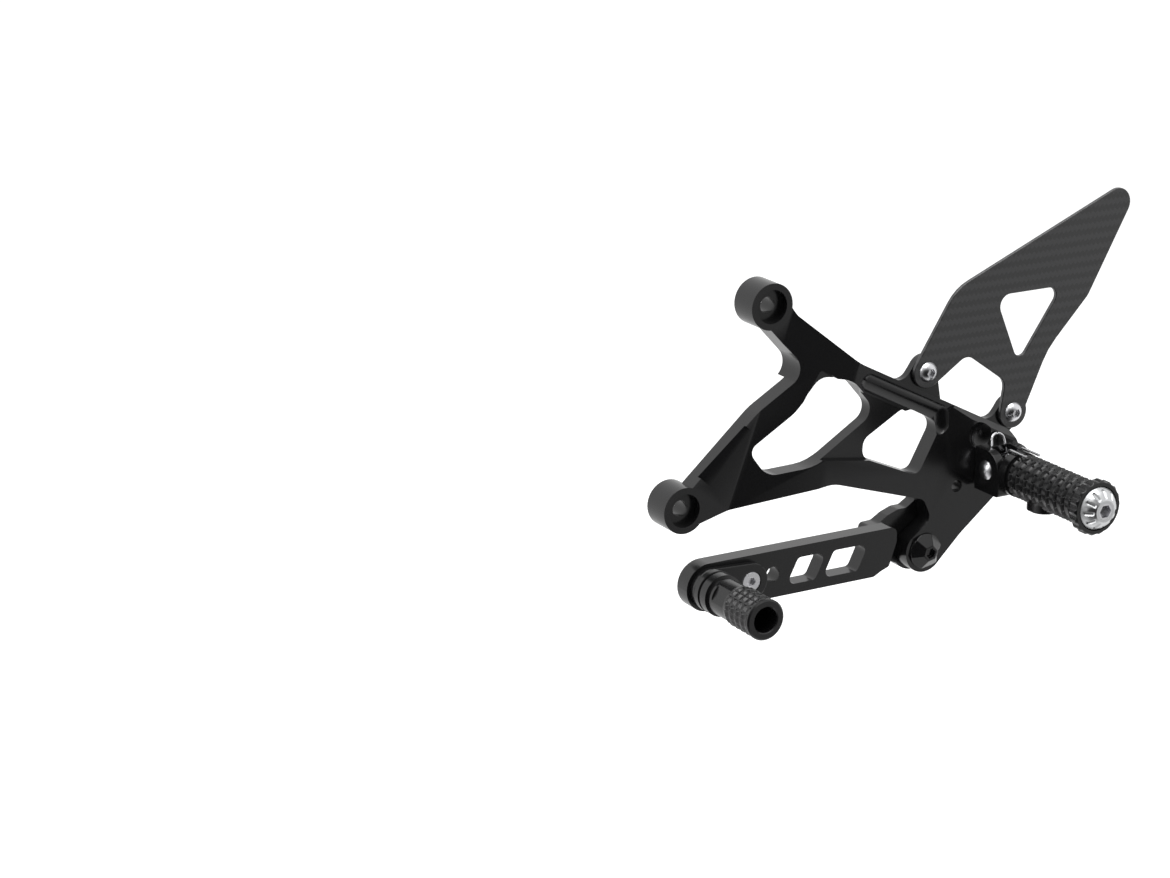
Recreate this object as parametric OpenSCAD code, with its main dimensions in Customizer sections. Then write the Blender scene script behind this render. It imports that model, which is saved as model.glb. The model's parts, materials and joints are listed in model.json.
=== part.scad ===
// Rear-set footrest for the gear-shift side of a motorcycle.
// +Z is up, +X is rearward, -Y is outward to the rider's foot.
// Y = 0 is the plane of the frame, and the upper frame bolt's axis is the origin.

/* [Frame bosses] */
// Distance from the upper frame bolt to the lower one, towards the front
boss_dx = -48.5; // [-52:0.5:-46]
// Distance from the upper frame bolt down to the lower one
boss_dz = -96; // [-98:0.5:-94]
// Radius of each frame boss
boss_r = 11.75; // [11:0.25:13]
// Length of each frame boss, and how far the front plate face stands off the frame
boss_len = 16; // [14:0.5:18]
// Radius of the counterbore for the bolt head
cbore_r = 8.5; // [7.5:0.25:9]
// Depth of the counterbore
cbore_depth = 4.5; // [4:0.25:6]
// Radius of the frame bolt's hole
frame_bolt_r = 4.2; // [3.2:0.05:5]

/* [Bracket plate] */
// Thickness of the bracket plate
plate_t = 10; // [8:0.5:11]
// How far the ramp carries the rear part of the plate outward
ramp_rise = 8; // [7:0.5:9]
// Width of the ramp
ramp_w = 42; // [36:1:46]
// Lean of the ramp's edges from the vertical
ramp_lean = 20.5; // [17:0.5:24]
// How far the milled pad under the clevis stands proud of the plate
pad_rise = 3; // [2:0.25:4]
// Depth of the milled channel along the long arm
channel_depth = 2.6; // [1.5:0.1:3.5]
// How far the web between the two windows is set back
web_setback = 3; // [1.5:0.25:4]

/* [Heel guard] */
// Thickness of the heel guard
guard_t = 2.2; // [1.6:0.1:3]
// Thickness of the two tabs that carry the heel guard
tab_t = 4; // [3.5:0.25:5.5]
// Radius of the tabs and of the guard's lugs
lug_r = 8.5; // [7.5:0.25:9]
// Radius of the guard screws' thread
guard_screw_r = 3; // [2.5:0.25:3]
// Radius of the guard screws' button head
guard_head_r = 5.25; // [4.75:0.25:5.5]

/* [Footpeg] */
// X of the footpeg's axis
peg_x = 128.5; // [127.5:0.5:129.5]
// Z of the footpeg's axis and of its hinge pin
peg_z = -96; // [-97:0.5:-95]
// Distance from the face of the pad out to the hinge pin
pin_stand = 9; // [8.75:0.25:9.5]
// Radius of the hinge pin
pin_r = 4; // [3:0.25:4.5]
// Width over the two ears of the clevis
clevis_w = 22; // [21:0.5:24]
// Thickness of each ear
ear_t = 5; // [4:0.25:5.5]
// Radius of the ears round the pin
ear_r = 10.5; // [9.5:0.25:10.8]
// Width of the peg's tongue between the spring's two coils
tongue_w = 6; // [4.5:0.25:6.5]
// Radius of the knurled sleeve
sleeve_r = 11.6; // [11:0.2:12.4]
// Length of the knurled sleeve up to its flange
sleeve_len = 54; // [48:1:62]
// Radius of the flange at the sleeve's outer end
flange_r = 14; // [13:0.25:15]
// Width of the flange
flange_w = 6; // [5:0.5:7]
// Rings of teeth along the sleeve
tooth_rings = 9; // [7:1:11]
// Teeth round the sleeve
teeth_round = 18; // [14:1:22]
// Height of the teeth
tooth_h = 1.3; // [0.8:0.1:1.6]
// Radius of the end cap
cap_r = 11; // [9.5:0.25:11.5]
// Height of the end cap's cone
cap_h = 6; // [4.5:0.25:7]
// Flutes round the end cap
cap_flutes = 11; // [8:1:14]
// Wire radius of the return spring
wire_r = 0.65; // [0.5:0.05:0.7]

/* [Shift lever] */
// X of the lever's pivot
pivot_x = 90; // [89:0.5:91]
// Z of the lever's pivot
pivot_z = -138; // [-139:0.5:-137]
// Distance from the pivot forward to the toe peg
lever_reach = 130.5; // [126:0.5:136]
// Height of the lever's arm
arm_h = 24.6; // [23.5:0.1:26]
// Thickness of the lever's arm
arm_t = 9; // [7:0.5:10]
// Thickness of the lever's hub behind the plate
hub_t = 7; // [6:0.5:8]
// Radius of the hub
hub_r = 13; // [12:0.5:14]
// Radius of the bearing sleeve that the lever turns on
sleeve_bearing_r = 6; // [5.5:0.25:7]
// Wall of the two bushes in the hub
bush_wall = 1.5; // [1:0.25:2]
// Radius of the pivot bolt
pivot_bolt_r = 4; // [3:0.25:4.5]
// Radius of the hole for the shift rod's joint
rod_hole_r = 3; // [2.5:0.25:3.5]

/* [Toe peg] */
// Thickness of the link that carries the toe peg
link_t = 4; // [3:0.25:5]
// Distance from the toe peg to the link's screw
link_len = 22.5; // [21:0.5:26]
// Radius of the toe peg over its knurl
toe_r = 10.3; // [9:0.1:11]
// Length of the toe peg
toe_len = 48; // [44:1:54]
// Radius of the bore in the toe peg's end
toe_bore_r = 6.4; // [5.5:0.1:7]
// Depth of the bore in the toe peg's end
toe_bore_depth = 22; // [16:1:28]

/* [Hidden] */
$fn = 64;

// Radial clearance of a turning fit
run_gap = 0.04;
// Radial clearance of a screw in its own hole
fit_gap = 0.05;
// Gap between faces that move past each other
side_gap = 0.3;
// Overlap of a cutting tool past the face that it cuts
over = 1;

// Depths are measured outward from the frame plane, along -Y
front_low = boss_len;
back_low = boss_len - plate_t;
front_high = front_low + ramp_rise;
back_high = back_low + ramp_rise;
pad_face = front_high + pad_rise;
pin_d = pad_face + pin_stand;

// Helpers
function unit(v) = v / norm(v);
function corner_arc(a, b, c, r) =
    let (u = unit(a - b), w = unit(c - b))
    let (half = acos(u * w) / 2)
    let (centre = b + unit(u + w) * r / sin(half))
    let (p0 = b + u * r / tan(half), p1 = b + w * r / tan(half))
    let (a0 = atan2(p0.y - centre.y, p0.x - centre.x))
    let (a1 = atan2(p1.y - centre.y, p1.x - centre.x))
    let (turn = (a1 - a0 + 540) % 360 - 180)
    let (n = max(2, ceil(abs(turn) / 10)))
    [for (i = [0:n]) centre + r * [cos(a0 + turn * i / n), sin(a0 + turn * i / n)]];
function xy(p) = [p.x, p.y];
// Points of an arc, written as corners that need no rounding
function arc(centre, r, from, to) =
    let (n = max(2, ceil(abs(to - from) / 10)))
    [for (i = [0:n]) let (a = from + (to - from) * i / n)
        [centre.x + r * cos(a), centre.y + r * sin(a), 0]];
function rounded(pts) =
    let (n = len(pts))
    [for (i = [0:n - 1]) each (pts[i][2] == 0
        ? [xy(pts[i])]
        : corner_arc(xy(pts[(i + n - 1) % n]), xy(pts[i]), xy(pts[(i + 1) % n]), pts[i][2]))];

// A profile drawn in X and Z, standing between two depths from the frame plane
module slab(from, to) {
    translate([0, -from, 0]) rotate([90, 0, 0]) linear_extrude(to - from) children();
}
// A round bar along Y, between two depths
module bar(x, z, r, from, to) {
    translate([x, -from, z]) rotate([90, 0, 0]) cylinder(r = r, h = to - from);
}
// A profile of radius and depth, turned round an axis along Y
module turned(x, z) {
    translate([x, 0, z]) rotate([90, 0, 0]) rotate_extrude() children();
}
// A hexagon's corner radius from its width across flats
function hex_r(flats) = flats / sqrt(3);

// Bracket plate
arm_a = [47, -33];
arm_b = [141, -81.3];
arm_dir = unit(arm_b - arm_a);
arm_angle = atan2(arm_dir.y, arm_dir.x);
arm_up = [-arm_dir.y, arm_dir.x];
spare_hole = [108.8, -106.5];
spare_hole_r = 3.2;
guard_screw_1 = [90.8, -44.5];
guard_screw_2 = [145.4, -73.6];
// The tabs lie a little inside the plate's back face
tab_back = back_high + 0.5;
tab_front = tab_back + tab_t;
guard_front = tab_front + guard_t;
lug_pivot_r = 11.5;

module plate_outline() {
    polygon(rounded(concat(
        [[9, 2, 0], [14.5, -6, 8], [arm_a.x, arm_a.y, 30], [arm_b.x, arm_b.y, 9],
            [151, -101, 10], [112, -132.5, 20]],
        arc([pivot_x, pivot_z], lug_pivot_r, -38, -218),
        [[93.5, -121.5, 5], [88.5, -110.5, 5], [33, -93.2, 18], [-24, -99.8, 30],
            [boss_dx + 4.5, boss_dz - 9, 0], [boss_dx + 2, boss_dz + 9, 0],
            [-8, -53, 30], [20, -34, 9], [-3, -9, 0]]
    )));
}
module front_window() {
    polygon(rounded([
        [-12.5, -71.2, 5], [12, -54.6, 20], [27, -38.3, 9], [43, -41, 14], [59.5, -60, 7.5],
        [22, -82.8, 25], [-3, -85, 10]
    ]));
}
module rear_window() {
    polygon(rounded([[52.3, -73.8, 6], [77, -60.2, 9], [98, -71.6, 6], [84, -97, 5], [51.6, -83.1, 6]]));
}
// A tab of the long arm, drawn along and square to the arm from the foot of its screw
module tab_outline(screw, right_foot) {
    rel = screw - arm_a;
    along = rel * arm_dir;
    rise = rel * arm_up;
    translate(arm_a) rotate(arm_angle) translate([along, 0])
        polygon(rounded(concat(
            [[right_foot, -4, 0], [-19, -4, 0], [-19, -0.9, 0], [-lug_r - 1.5, 0.6, 7]],
            arc([0, rise], lug_r, 180, 0)
        )));
}
// Where the ramp starts, measured from the upper bolt across its lean
ramp_s0 = 13;
// Section through the ramp: how deep the plate lies, across the ramp's lean
module ramp_section() {
    far = 260;
    polygon([
        [-far, back_low], [ramp_s0, back_low], [ramp_s0 + ramp_w, back_high], [far, back_high],
        [far, front_high], [ramp_s0 + ramp_w, front_high], [ramp_s0, front_low], [-far, front_low]
    ]);
}
module ramp_body() {
    rotate([0, ramp_lean, 0]) translate([0, 0, -200]) linear_extrude(400) mirror([0, 1]) ramp_section();
}
// Raised pad under the clevis, with its own short ramp and a chamfered upper edge
pad_foot = [97, -66];
pad_knee = [104.5, -97];
module pad_outline() {
    polygon([pad_foot, [pad_foot.x + 60, pad_foot.y + 20], [170, -134], pad_knee]);
}
module pad_body() {
    slope_w = 16;
    lean = atan2(pad_knee.x - pad_foot.x, pad_foot.y - pad_knee.y);
    translate([pad_foot.x, 0, pad_foot.y]) rotate([0, -lean, 0]) translate([0, 0, -80])
        linear_extrude(120) mirror([0, 1])
            polygon([[0, front_high - over], [0, front_high], [slope_w, pad_face], [90, pad_face],
                [90, front_high - over]]);
}
module arm_place(along, up) {
    translate([arm_a.x, 0, arm_a.y]) rotate([0, -arm_angle, 0]) translate([along, 0, up]) children();
}
// Milled channel, which turns down behind the rear window at its end
module channel() {
    r = 5.6;
    drop = -6.9;
    start = 10;
    end = 59;
    tail = 6.5;
    tail_turn = 58;
    arm_place(start, drop) translate([0, -front_high - r + channel_depth, 0]) {
        rotate([0, 90, 0]) cylinder(r = r, h = end - start);
        sphere(r);
        translate([end - start, 0, 0]) {
            sphere(r);
            rotate([0, 90 + tail_turn, 0]) {
                cylinder(r = r, h = tail);
                translate([0, 0, tail]) sphere(r);
            }
        }
    }
}
// Chamfer on the arm's upper edge, which widens as the pad rises
module pad_chamfer() {
    start = 47.5;
    len = 75;
    reach = 3 * pad_rise;
    arm_place(start + len / 2, 0) translate([0, -pad_face, 0]) rotate([45, 0, 0])
        cube([len, reach, pad_rise * sqrt(2)], center = true);
}
// A point of the plate measured along the long arm and square to it
function arm_point(along, rise) = arm_a + along * arm_dir + rise * arm_up;
// The neck below the upper boss is nearly as deep as the boss
neck_back = 2.5;
module neck_root() {
    slab(neck_back, back_high) intersection() {
        plate_outline();
        polygon([[-14, 14], [22, 14], [24, -14], [22, -42], [4, -36]]);
    }
}
// The upper leg is milled thinner from behind, up to a step above the lower leg
module leg_relief() {
    top = [17.5, -39.5];
    foot = [-5.5, -54];
    len = norm(foot - top);
    lean = atan2(foot.y - top.y, foot.x - top.x);
    wide = 14;
    deep = back_low + 4;
    translate([top.x, 0, top.y]) rotate([0, -lean, 0]) translate([0, 0, -over])
        linear_extrude(wide + over) mirror([0, 1])
            polygon([[0, -over], [0, neck_back], [len * 0.75, deep], [len - 2, deep], [len, back_low], [len, -over]]);
}
// Slanted facet along the front edge of the lower leg, which widens towards the boss
module leg_facet() {
    top = [-11.5, -60.5];
    foot = [-34.5, -85.5];
    lean = atan2(foot.y - top.y, foot.x - top.x);
    slope = 24;
    translate([top.x, -front_low, top.y]) rotate([0, -lean, 0]) rotate([slope, 0, 0])
        translate([0, -6, -14]) cube([norm(foot - top), 6, 14]);
}
// Flat milled into the ramp beside the front window
module ramp_flat() {
    slab(front_low + 2.8, front_high + over)
        polygon(rounded([[26.5, -34, 2], [40, -43, 0], [36, -52, 0], [14, -54, 0], [20, -44, 8]]));
}
// Scoop above the clevis, where the spring passes when the peg folds
module clevis_scoop() {
    r = 9;
    deep = 3.4;
    translate([peg_x - 8.5, -pad_face - r + deep, peg_z + 15.8]) sphere(r);
}
module bracket_plate() {
    color([0.07, 0.07, 0.075]) difference() {
        union() {
            intersection() {
                slab(0, pad_face + over) plate_outline();
                ramp_body();
            }
            intersection() {
                slab(front_high - over, pad_face) intersection() {
                    plate_outline();
                    pad_outline();
                }
                pad_body();
            }
            frame_boss(0, 0, 0);
            frame_boss(boss_dx, boss_dz, 180);
            neck_root();
            slab(tab_back, tab_front) {
                tab_outline(guard_screw_1, 19);
                tab_outline(guard_screw_2, 3);
            }
        }
        slab(-over, pad_face + over) {
            front_window();
            rear_window();
        }
        frame_bolt_hole(0, 0);
        frame_bolt_hole(boss_dx, boss_dz);
        bar(pivot_x, pivot_z, pivot_bolt_r + fit_gap, back_high - over, front_high + over);
        bar(peg_x, peg_z, clevis_bolt_r + 0.2, back_high - over, pad_face + over);
        bar(peg_x, peg_z, spigot_r + fit_gap, spigot_floor, pad_face + over);
        bar(peg_x, peg_z - dowel_drop, dowel_r + fit_gap, dowel_back, pad_face + over);
        bar(spare_hole.x, spare_hole.y, spare_hole_r, back_high - over, front_high + over);
        for (s = [guard_screw_1, guard_screw_2])
            bar(s.x, s.y, guard_screw_r + fit_gap, tab_back - over, tab_front + over);
        channel();
        pad_chamfer();
        leg_relief();
        leg_facet();
        ramp_flat();
        clevis_scoop();
        web_cut();
    }
}
// A boss, turned so that its seam lies outside the plate
module frame_boss(x, z, seam) {
    translate([x, 0, z]) rotate([0, seam, 0]) rotate([90, 0, 0]) cylinder(r = boss_r, h = boss_len);
}
module frame_bolt_hole(x, z) {
    bar(x, z, frame_bolt_r, -over, boss_len + over);
    bar(x, z, cbore_r, boss_len - cbore_depth, boss_len + over);
}
// The web between the windows is set back up to a thin ridge below the channel
module web_cut() {
    ridge = -12.6;
    slab(front_high - web_setback, front_high + over)
        polygon([arm_point(3.5, ridge), arm_point(41, ridge), [72, -70], [58, -84.8], [22, -79.5], [30, -70],
            [50, -56]]);
}

// Heel guard and its screws
module heel_guard() {
    color([0.12, 0.12, 0.125]) slab(tab_front, guard_front) difference() {
        polygon(rounded(concat(
            arc(guard_screw_1, lug_r, 300, 145),
            [[106.8, -3.6, 25], [225, 44.9, 8], [190.5, -17.5, 12], [166, -43, 40]],
            arc(guard_screw_2, lug_r, 18, -200),
            [[139.5, -56.2, 7], [115, -38.8, 7]]
        )));
        polygon(rounded([[131.5, -10.4, 6], [173.7, -10.4, 4.5], [147.4, -48.2, 4]]));
        translate(guard_screw_1) circle(guard_screw_r + fit_gap);
        translate(guard_screw_2) circle(guard_screw_r + fit_gap);
    }
}
// A button-head screw along Y, from the depth of its tip to the seat of its head
module button_screw(x, z, r, head_r, head_h, tip, seat, flats) {
    difference() {
        union() {
            bar(x, z, r, tip, seat + 0.2);
            turned(x, z) intersection() {
                dome = (head_r * head_r + head_h * head_h) / (2 * head_h);
                translate([0, seat + head_h - dome]) circle(dome, $fn = 96);
                translate([0, seat]) square([head_r, head_h]);
            }
        }
        translate([x, -seat - head_h * 0.35, z]) rotate([90, 0, 0])
            cylinder(r = hex_r(flats), h = head_h, $fn = 6);
    }
}
module heel_guard_screw(at) {
    color([0.85, 0.85, 0.87])
        button_screw(at.x, at.y, guard_screw_r, guard_head_r, 3.3, tab_back, guard_front, 4);
}
module heel_guard_screw_front() heel_guard_screw(guard_screw_1);
module heel_guard_screw_rear() heel_guard_screw(guard_screw_2);

// Clevis and hinge
clevis_x0 = peg_x - clevis_w / 2;
clevis_x1 = peg_x + clevis_w / 2;
clevis_bolt_r = 4;
clevis_head_r = 6.5;
clevis_head_h = 8;
clevis_washer_t = 1.6;
spigot_r = 7;
spigot_floor = back_high + 5;
dowel_r = 2;
dowel_drop = spigot_r + dowel_r + side_gap;
dowel_back = pad_face - 6;
dowel_front = pad_face + 6;
tongue_r = 6;
swing_gap = 0.4;
fold_limit = 75;
stop_d = pin_d + 11;
stop_drop = 10.5;

module ear_profile() {
    // Drawn with depth to the right and height up
    polygon(rounded(concat(
        [[pad_face, ear_r, 0], [pad_face, -stop_drop - 1.5, 0], [stop_d, -stop_drop - 1.5, 2],
            [stop_d, -2, 0]],
        arc([pin_d, 0], ear_r, 0, 90)
    )));
}
// A profile of depth and height, standing between two places along X
module across(x0, x1) {
    translate([x0, 0, peg_z]) rotate([90, 0, 90]) linear_extrude(x1 - x0) mirror([1, 0]) children();
}
module along_x(x0, x1, r) {
    translate([x0, -pin_d, peg_z]) rotate([0, 90, 0]) cylinder(r = r, h = x1 - x0);
}
// Room between the ears for the tongue, at rest and folded up to its limit
module slot_profile() {
    r = tongue_r + swing_gap;
    up = [cos(fold_limit), sin(fold_limit)];
    back = [pin_d, 0] + r * [-up.y, up.x];
    reach = 2 * ear_r;
    polygon(rounded(concat(
        [[stop_d + over, -r, 0]],
        arc([pin_d, 0], r, 270, 90 + fold_limit),
        [[back.x + reach * up.x, reach * up.y, 0], [stop_d + over, reach, 0]]
    )));
}
module peg_clevis() {
    color([0.06, 0.06, 0.065]) difference() {
        union() {
            across(clevis_x0, clevis_x1) ear_profile();
            bar(peg_x, peg_z, spigot_r, spigot_floor + 0.2, pad_face + over);
        }
        across(clevis_x0 + ear_t, clevis_x1 - ear_t) slot_profile();
        along_x(clevis_x0 - over, clevis_x1 + over, pin_r + run_gap);
        bar(peg_x, peg_z, clevis_bolt_r + fit_gap, spigot_floor - over, pad_face + 1.5);
        bar(peg_x, peg_z - dowel_drop, dowel_r + fit_gap, pad_face - over, dowel_front);
    }
}
module clevis_bolt() {
    seat = back_high - clevis_washer_t;
    color([0.75, 0.75, 0.77]) difference() {
        union() {
            bar(peg_x, peg_z, clevis_bolt_r, seat - 0.2, pad_face + 1);
            bar(peg_x, peg_z, clevis_head_r, seat - clevis_head_h, seat);
        }
        translate([peg_x, -seat + clevis_head_h + over, peg_z]) rotate([90, 0, 0])
            cylinder(r = hex_r(6), h = 4 + over, $fn = 6);
    }
}
module clevis_washer() {
    color([0.75, 0.75, 0.77]) difference() {
        bar(peg_x, peg_z, 10, back_high - clevis_washer_t, back_high);
        bar(peg_x, peg_z, clevis_bolt_r + 0.3, back_high - clevis_washer_t - over, back_high + over);
    }
}
module clevis_dowel() {
    color([0.6, 0.6, 0.62]) bar(peg_x, peg_z - dowel_drop, dowel_r, dowel_back, dowel_front);
}
pin_head_r = 5.2;
pin_head_h = 2.4;
pin_tail = 3;
circlip_t = 0.9;
circlip_at = clevis_x1 + 0.6;
module peg_pivot_pin() {
    dome = (pin_head_r * pin_head_r + pin_head_h * pin_head_h) / (2 * pin_head_h);
    color([0.8, 0.8, 0.82]) difference() {
        union() {
            along_x(clevis_x0 - 0.2, clevis_x1 + pin_tail, pin_r);
            translate([clevis_x0, -pin_d, peg_z]) rotate([0, -90, 0]) rotate_extrude() intersection() {
                translate([0, pin_head_h - dome]) circle(dome, $fn = 96);
                square([pin_head_r, pin_head_h]);
            }
        }
        difference() {
            along_x(circlip_at - 0.05, circlip_at + circlip_t + 0.05, pin_r + over);
            along_x(circlip_at - 0.5, circlip_at + circlip_t + 0.5, pin_r - 0.6);
        }
    }
}
module pin_circlip() {
    color([0.55, 0.55, 0.57]) difference() {
        along_x(circlip_at, circlip_at + circlip_t, pin_r + 1.7);
        along_x(circlip_at - over, circlip_at + circlip_t + over, pin_r - 0.55);
        translate([circlip_at - over, -pin_d - 2, peg_z - pin_r - 4]) cube([circlip_t + 2 * over, 4, 6]);
    }
}

// Return spring: two coils on the pin with a leg each on the peg and on the clevis
coil_r = pin_r + 1.25;
coil_turns = 2;
// The turns lie against each other
coil_pitch = 1.96 * wire_r;
leg_end = 60;
leg_z = peg_z + 12.15;
coil_x = tongue_w / 2 + wire_r + 0.15;
module wire(a, b) {
    // A straight stretch of wire between two points that share their X
    d = b - a;
    translate(a) rotate([-atan2(d.z, -d.y) + 90, 0, 0]) cylinder(r = wire_r, h = norm(d));
    translate(b) sphere(wire_r);
}
module peg_return_springs() {
    color([0.8, 0.8, 0.82]) for (side = [-1, 1]) {
        x_in = peg_x + side * coil_x;
        x_out = x_in + side * coil_pitch * (coil_turns - 1);
        for (i = [0:coil_turns - 1])
            translate([x_in + side * i * coil_pitch, -pin_d, peg_z]) rotate([0, 90, 0])
                rotate_extrude() translate([coil_r, 0]) circle(wire_r, $fn = 24);
        top = [x_in, -pin_d, peg_z + coil_r];
        knee = [x_in, -stop_d + 0.8, leg_z];
        wire(top, knee);
        wire(knee, [x_in, -leg_end, leg_z]);
        wire([x_out, -pin_d, peg_z - coil_r], [x_out, -stop_d + 1, peg_z - coil_r]);
    }
}

// Footpeg
core_back = stop_d;
collar_w = 5;
sleeve_start = core_back + collar_w;
sleeve_end = sleeve_start + sleeve_len;
flange_end = sleeve_end + flange_w;
spindle_r = 7.5;
collar_r = sleeve_r + 0.1;
cap_seat = flange_end - 2.5;
lock_d = sleeve_start + 17;
boss_drop = 13;
module peg_core() {
    color([0.06, 0.06, 0.065]) difference() {
        union() {
            translate([peg_x - tongue_w / 2, 0, peg_z]) rotate([90, 0, 90]) linear_extrude(tongue_w)
                mirror([1, 0]) {
                    translate([pin_d, 0]) circle(tongue_r);
                    translate([pin_d, -tongue_r]) square([core_back - pin_d + 1, 2 * tongue_r]);
                }
            intersection() {
                bar(peg_x, peg_z, collar_r, core_back, sleeve_start);
                translate([peg_x, 0, peg_z - 2]) cube([40, 400, 2 * collar_r + 3], center = true);
            }
            bar(peg_x, peg_z, spindle_r, sleeve_start - 0.2, cap_seat - 8);
        }
        along_x(peg_x - 20, peg_x + 20, pin_r + run_gap);
        bar(peg_x, peg_z, 3 + fit_gap, cap_seat - 26, cap_seat + over);
        translate([peg_x, -lock_d, peg_z - 20]) cylinder(r = 2.5 + fit_gap, h = 20);
    }
}
tooth_pitch = sleeve_len / tooth_rings;
module sleeve_profile() {
    // Radius to the right and depth up: one sharp ridge for each ring of teeth
    root = sleeve_r - tooth_h;
    polygon(concat(
        [[spindle_r + fit_gap, sleeve_start], [root, sleeve_start]],
        [for (i = [0:tooth_rings - 1]) each [
            [root, sleeve_start + tooth_pitch * (i + 0.12)],
            [sleeve_r, sleeve_start + tooth_pitch * (i + 0.42)],
            [sleeve_r, sleeve_start + tooth_pitch * (i + 0.58)],
            [root, sleeve_start + tooth_pitch * (i + 0.88)]]],
        [[root, sleeve_end], [flange_r - 1, sleeve_end], [flange_r, sleeve_end + 1],
            [flange_r, flange_end - 1], [flange_r - 1, flange_end], [cap_r + 0.3, flange_end],
            [cap_r + 0.3, cap_seat], [spindle_r - 2, cap_seat], [spindle_r - 2, cap_seat - 8 + 0.05],
            [spindle_r + fit_gap, cap_seat - 8 + 0.05]]
    ));
}
module peg_sleeve() {
    color([0.05, 0.05, 0.055]) difference() {
        union() {
            turned(peg_x, peg_z) sleeve_profile();
            // Flat boss under the sleeve for the lock screw
            intersection() {
                translate([peg_x - 8, -sleeve_start - 26, peg_z - boss_drop]) cube([16, 26, 8]);
                bar(peg_x, peg_z, 15, sleeve_start, sleeve_start + 26);
            }
        }
        for (i = [0:teeth_round - 1]) rotate_about_peg(360 * i / teeth_round)
            translate([sleeve_r, -sleeve_start + over, 0]) rotate([90, 0, 0])
                linear_extrude(sleeve_len + over)
                    polygon([[0.6, -1.1], [0.6, 1.1], [-tooth_h, 0.35], [-tooth_h, -0.35]]);
        for (i = [0:teeth_round - 1]) rotate_about_peg(360 * (i + 0.5) / teeth_round)
            bar(flange_r + 1.6, 0, 2.4, sleeve_end - over, flange_end + over);
        bar(peg_x, peg_z, spindle_r + fit_gap, sleeve_start - over, cap_seat - 8);
        translate([peg_x, -lock_d, peg_z - 20]) cylinder(r = 2.5 + fit_gap, h = 20);
    }
}
module rotate_about_peg(a) {
    translate([peg_x, 0, peg_z]) rotate([0, a, 0]) children();
}
cap_rim = cap_seat + 2;
cap_top = cap_rim + cap_h;
cap_bolt_head_r = 4.2;
cap_hub_r = 5;
flute_r = 1.25;
module peg_end_cap() {
    color([0.86, 0.87, 0.88]) difference() {
        turned(peg_x, peg_z) polygon([[0, cap_seat], [cap_r, cap_seat], [cap_r, cap_rim],
            [(cap_r + cap_hub_r) / 2 + 0.6, (cap_rim + cap_top) / 2 + 0.6], [cap_hub_r + 0.5, cap_top],
            [0, cap_top]]);
        for (i = [0:cap_flutes - 1]) rotate_about_peg(360 * (i + 0.4) / cap_flutes) flute();
        bar(peg_x, peg_z, cap_bolt_head_r + fit_gap, cap_seat + 1.5, cap_top + over);
        bar(peg_x, peg_z, 3 + fit_gap, cap_seat - over, cap_top + over);
    }
}
// A groove down the cone's slope with a round end at each side
module flute() {
    slope = atan2(cap_top - cap_rim, cap_r - cap_hub_r);
    from = cap_r - 1.9;
    to = cap_hub_r + 1.5;
    len = (from - to) / cos(slope);
    translate([from + 0.8, -cap_rim - (cap_r - from) * tan(slope) - 0.8, 0]) rotate([0, 0, 180 + slope])
        rotate([0, 90, 0]) {
            cylinder(r = flute_r, h = len, $fn = 24);
            sphere(flute_r, $fn = 24);
            translate([0, 0, len]) sphere(flute_r, $fn = 24);
        }
}
module peg_cap_bolt() {
    color([0.5, 0.51, 0.52]) difference() {
        union() {
            bar(peg_x, peg_z, 3, cap_seat - 24, cap_seat + 1.7);
            bar(peg_x, peg_z, cap_bolt_head_r, cap_seat + 1.5, cap_top);
        }
        translate([peg_x, -cap_top + 4, peg_z]) rotate([90, 0, 0])
            cylinder(r = hex_r(6), h = 4 + over, $fn = 6);
    }
}
module peg_lock_screw() {
    head_r = 4.6;
    head_h = 2.6;
    dome = (head_r * head_r + head_h * head_h) / (2 * head_h);
    color([0.06, 0.06, 0.065]) translate([peg_x, -lock_d, peg_z - boss_drop]) rotate([180, 0, 0])
        difference() {
            union() {
                translate([0, 0, -9]) cylinder(r = 2.5, h = 9.2);
                rotate_extrude() intersection() {
                    translate([0, head_h - dome]) circle(dome, $fn = 96);
                    square([head_r, head_h]);
                }
            }
            translate([0, 0, head_h * 0.35]) cylinder(r = hex_r(3), h = head_h, $fn = 6);
        }
}

// Lever pivot
hub_back = back_high - side_gap - hub_t;
hub_front = back_high - side_gap;
washer_t = 1.2;
nut_h = 4.5;
sleeve_back = hub_back - side_gap;
module lever_pivot_bolt() {
    head_r = 9.2;
    head_h = 5.6;
    plateau_r = 4.2;
    facet_over = 2.2;
    facet_turn = 12;
    color([0.07, 0.07, 0.075]) difference() {
        union() {
            bar(pivot_x, pivot_z, pivot_bolt_r, sleeve_back - washer_t - nut_h - 0.5, front_high + 0.2);
            intersection() {
                bar(pivot_x, pivot_z, head_r, front_high, front_high + head_h);
                translate([pivot_x, -front_high, pivot_z]) rotate([90, 0, 0]) rotate(facet_turn)
                    cylinder(r1 = head_r + facet_over, r2 = plateau_r, h = head_h, $fn = 6);
            }
        }
        translate([pivot_x, -front_high - head_h + 2.2, pivot_z]) rotate([90, 0, 0]) rotate(facet_turn)
            cylinder(r = hex_r(5), h = 4, $fn = 6);
    }
}
module lever_bearing_sleeve() {
    color([0.7, 0.7, 0.72]) difference() {
        bar(pivot_x, pivot_z, sleeve_bearing_r, sleeve_back, back_high);
        bar(pivot_x, pivot_z, pivot_bolt_r + fit_gap, sleeve_back - over, back_high + over);
    }
}
module lever_pivot_washer() {
    color([0.75, 0.75, 0.77]) difference() {
        bar(pivot_x, pivot_z, 10.5, sleeve_back - washer_t, sleeve_back);
        bar(pivot_x, pivot_z, pivot_bolt_r + 0.2, sleeve_back - washer_t - over, sleeve_back + over);
    }
}
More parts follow.
